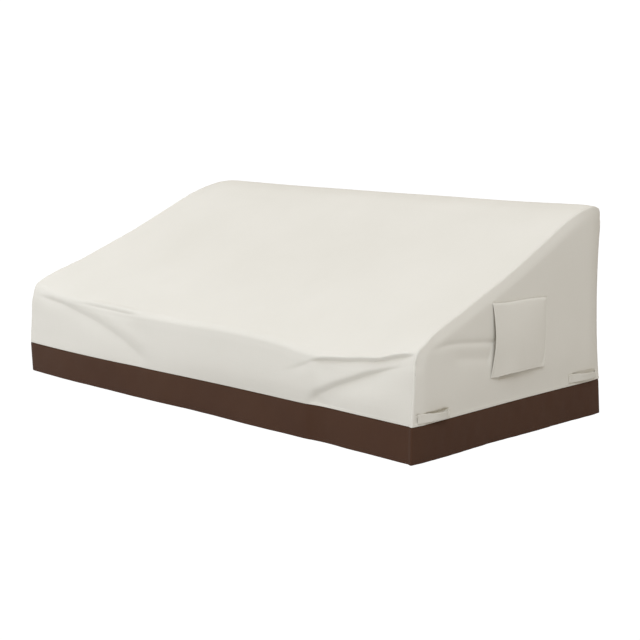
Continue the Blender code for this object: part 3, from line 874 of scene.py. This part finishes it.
def on_hood(side, y, z):
    """The same for a line over a hood that is given back and up instead of by its grid."""
    t, rise = (y - HOOD_FRONT) / (HOOD_BACK - HOOD_FRONT), (z - HOOD_FOOT) / HOOD_SIZE[1]
    for _ in range(12):
        here = hood(side)(t, rise)
        t, rise = t + 3 * (y - here[:, 1]), rise + 4 * (z - here[:, 2])
    return line_on(hood(side), t, rise)


def even(value, count=200):
    return np.full(count, value)


run = np.linspace(0.004, 0.996, 200)
across, along = 2 * run - 1, run * KNOTS[-1]
in_share = SEAM_IN / half
cream_lines = [
    line_on(long_panel, even(1 - in_share), along), line_on(long_panel, even(in_share - 1), along),
    line_on(long_panel, across, even(SEAM_IN)),
    line_on(long_panel, across, even(KNOTS[-1] - 0.008)),
    line_on(back_panel, -across, even(SEAM_IN / BACK_HEIGHT)),
]
for side, _ in SIDES:
    seam_run = KNOTS[FRONT_CORNER] + run * (KNOTS[-1] - KNOTS[FRONT_CORNER])
    in_rise = SEAM_IN / (curve_at(KNOTS, END, seam_run)[:, 1] - SKIRT)
    cream_lines.append(line_on(end_panel(side), seam_run, in_rise))
    cream_lines.append(on_hood(side, *SEW_LINE.T))
    cream_lines.append(line_on(hood(side), even(0.024), run))
    cream_lines.append(line_on(hood(side), 0.02 + 0.90 * run, even(0.030)))
    for place in HANDLES:
        for middle in (0.055, 0.945):
            box_along = middle + 0.035 * np.array([-1, 1, 1, -1, -1])
            box_rise = 0.5 + 0.36 * np.array([-1, -1, 1, 1, -1])
            turn = np.linspace(0, 4, 60)
            cream_lines.append(line_on(handle(side, place), np.interp(turn, range(5), box_along),
                                       np.interp(turn, range(5), box_rise)))
brown_lines = [line_on(skirt(edge), run, even(HEM_IN / SKIRT)) for edge in SKIRT_LENGTHS]
print("lines to sew:", len(cream_lines), "in cream and", len(brown_lines), "in brown")

# %% [markdown]
# The tree below has its sizes as named inputs. The thread is 0.7 mm thick and its stitches 4 mm
# apart, as on real outdoor covers.

# %% The stitching as Geometry Nodes
STITCH_INPUTS = {"Spacing": 0.004, "Length": 0.0031, "Thickness": 0.0007, "Unevenness": 0.06}
stitching = bpy.data.node_groups.new("stitching", "GeometryNodeTree")
stitching.interface.new_socket("Geometry", in_out="INPUT", socket_type="NodeSocketGeometry")
kinds = {**dict.fromkeys(STITCH_INPUTS, "Float"), "Seed": "Int", "Thread": "Material"}
sockets = {name: stitching.interface.new_socket(name, in_out="INPUT",
                                                socket_type="NodeSocket" + kind).identifier
           for name, kind in kinds.items()}
stitching.interface.new_socket("Geometry", in_out="OUTPUT", socket_type="NodeSocketGeometry")

given = add_node(stitching, "NodeGroupInput").outputs
curve = add_node(stitching, "GeometryNodeMeshToCurve", {"Mesh": given["Geometry"]})
points = add_node(stitching, "GeometryNodeResampleCurve", {
    "Curve": curve.outputs["Curve"], "Length": given["Spacing"]}, mode="LENGTH")
bead = add_node(stitching, "GeometryNodeMeshUVSphere", {"Segments": 6, "Rings": 4, "Radius": 0.5})
tangent = add_node(stitching, "GeometryNodeInputTangent").outputs["Tangent"]
uneven = add_node(stitching, "ShaderNodeVectorMath", {
    0: add_node(stitching, "FunctionNodeRandomValue", {
        "Min": (-1, -1, -1), "Max": (1, 1, 1), "Seed": given["Seed"]},
        data_type="FLOAT_VECTOR").outputs["Value"],
    "Scale": given["Unevenness"]}, operation="SCALE").outputs["Vector"]
direction = add_node(stitching, "ShaderNodeVectorMath", {0: tangent, 1: uneven}, operation="ADD")
turned = add_node(stitching, "FunctionNodeAlignRotationToVector", {
    "Vector": direction.outputs["Vector"]}, axis="Z")
size = add_node(stitching, "ShaderNodeCombineXYZ", {
    "X": given["Thickness"], "Y": given["Thickness"], "Z": given["Length"]})
placed = add_node(stitching, "GeometryNodeInstanceOnPoints", {
    "Points": points.outputs["Curve"], "Instance": bead.outputs["Mesh"],
    "Rotation": turned.outputs["Rotation"], "Scale": size.outputs["Vector"]})
geometry = placed.outputs["Instances"]
for kind, inputs in (("GeometryNodeRealizeInstances", {}), ("GeometryNodeSetShadeSmooth", {}),
                     ("GeometryNodeSetMaterial", {"Material": given["Thread"]})):
    geometry = add_node(stitching, kind, {"Geometry": geometry, **inputs}).outputs["Geometry"]
add_node(stitching, "NodeGroupOutput", {"Geometry": geometry})

# %% [markdown]
# ## Thread
# Bonded polyester thread is smoother than the cloth and has a faint gloss. It is dyed to match.


# %% Thread
def thread(name, colour):
    """Dyed thread, with painted shade along its twist for how unevenly it is lit."""
    material, tree, shader = new_material(name, {"Roughness": 0.5, "IOR": 1.5})
    place = add_node(tree, "ShaderNodeTexCoord").outputs["Object"]
    # painted shade: noise darkens the thread in patches by up to 14 %, standing in for light on its
    # twist
    twist_shade = add_node(tree, "ShaderNodeTexNoise", {"Vector": place, "Scale": 180.0}).outputs["Fac"]
    dark = tuple(0.86 * c for c in linear(colour)[:3]) + (1,)
    mixed = add_node(tree, "ShaderNodeMix", {"Factor": twist_shade, 6: dark, 7: linear(colour)},
                     data_type="RGBA")
    tree.links.new(mixed.outputs[2], shader.inputs["Base Color"])
    return material


def sew(name, lines, finish, seed):
    """Stitches along the lines, as one plain mesh that rides on the body."""
    starts = np.concatenate([[0], np.cumsum([len(line) for line in lines])])
    edges = [(i, i + 1) for a, b in zip(starts[:-1], starts[1:]) for i in range(a, b - 1)]
    mesh = bpy.data.meshes.new(name + "_lines")
    mesh.from_pydata(np.concatenate(lines).tolist(), edges, [])
    guide = bpy.data.objects.new(name + "_lines", mesh)
    cover.objects.link(guide)
    modifier = guide.modifiers.new("Stitching", "NODES")
    modifier.node_group = stitching
    for label, value in {**STITCH_INPUTS, "Seed": seed, "Thread": finish}.items():
        modifier[sockets[label]] = value
    piece = finished_piece(name, guide)
    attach(piece, "root")
    triangles = sum(len(face.vertices) - 2 for face in piece.data.polygons)
    print(f"{name}: {triangles} triangles")


sew("thread_cream", cream_lines, thread("bonded_thread_cream", "#DDD8CC"), 5)
sew("thread_brown", brown_lines, thread("bonded_thread_brown", "#4A342B"), 6)

# %% [markdown]
# ## The studio
# The cover is shown on white paper, which the camera sees evenly lit. Three large lamps with soft
# edges stand to the left, in front and above on the right, a little cooler than the light that
# the room gives back. The camera stands where the photograph was taken, found from the corners of
# the hem and of the top.


# %% The paper and the room
def seen_apart(tree, lit_by, seen_as):
    """A shader that gives light as one shader and is seen by the camera as another."""
    seen = add_node(tree, "ShaderNodeLightPath").outputs["Is Camera Ray"]
    return add_node(tree, "ShaderNodeMixShader", {0: seen, 1: lit_by, 2: seen_as}).outputs["Shader"]


scene = bpy.context.scene
ROOM_TINT, ROOM_LIGHT = (1.13, 1.0, 0.815, 1), 0.395
WHITE, PAPER_GREY = (1, 1, 1, 1), (0.62, 0.62, 0.62, 1)
HEM_LEVEL = min(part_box(node)[0].z for node in frame["nodes"])
bpy.ops.mesh.primitive_plane_add(size=60, location=(0, 0, HEM_LEVEL - 0.002))
floor = bpy.context.object
floor.name = "paper_floor"
paper, paper_tree, matte = new_material("white_paper", {
    "Base Color": PAPER_GREY, "Roughness": 1.0, "Specular IOR Level": 0.0})
lit_through = add_node(paper_tree, "ShaderNodeEmission", {"Color": WHITE, "Strength": 1.05})
paper_tree.links.new(seen_apart(paper_tree, matte.outputs["BSDF"], lit_through.outputs["Emission"]),
                     paper_tree.nodes["Material Output"].inputs["Surface"])
floor.data.materials.append(paper)

world = bpy.data.worlds.new("studio")
world.use_nodes = True
scene.world = world
world_tree = world.node_tree
ambient = world_tree.nodes["Background"]
ambient.inputs["Color"].default_value = ROOM_TINT
ambient.inputs["Strength"].default_value = ROOM_LIGHT
backdrop = add_node(world_tree, "ShaderNodeBackground", {"Color": WHITE, "Strength": 1.1})
world_tree.links.new(
    seen_apart(world_tree, ambient.outputs["Background"], backdrop.outputs["Background"]),
    world_tree.nodes["World Output"].inputs["Surface"])

# %% The lamps and the camera
LAMP_TINT = (0.91, 1.0, 1.14)
LAMPS_AIM_AT = np.array([0, -0.5, -0.3])
CAMERA_PLACE = np.array([3.6048, -3.0253, 1.1159])
CAMERA_DOWN, CAMERA_TURN = 9.6308, 44.6556  # degrees
LAMPS = (("soft_lamp_left", (-0.80, -0.30, 0.50), 4, 3.0, 44),
         ("soft_lamp_front", (0.00, -1.00, 0.35), 8, 4.5, 164),
         ("soft_lamp_above", (0.55, -0.25, 0.80), 8, 4.5, 266))
for name, towards, distance, size, watts in LAMPS:
    lamp_data = bpy.data.lights.new(name, "AREA")
    lamp_data.shape, lamp_data.size, lamp_data.energy = "DISK", size, watts
    lamp_data.color = LAMP_TINT
    lamp = bpy.data.objects.new(name, lamp_data)
    scene.collection.objects.link(lamp)
    aim = np.array(towards) / np.linalg.norm(towards)
    lamp.location = LAMPS_AIM_AT + distance * aim
    lamp.rotation_euler = (np.arccos(aim[2]), 0, np.arctan2(aim[0], -aim[1]))

camera_data = bpy.data.cameras.new("camera")
camera_data.lens, camera_data.sensor_width = 77.46, 36
camera = bpy.data.objects.new("camera", camera_data)
camera.location = CAMERA_PLACE - ORIGIN
camera.rotation_euler = np.radians([90 - CAMERA_DOWN, 0, CAMERA_TURN])
scene.collection.objects.link(camera)
scene.camera = camera
scene.view_settings.view_transform = "Standard"
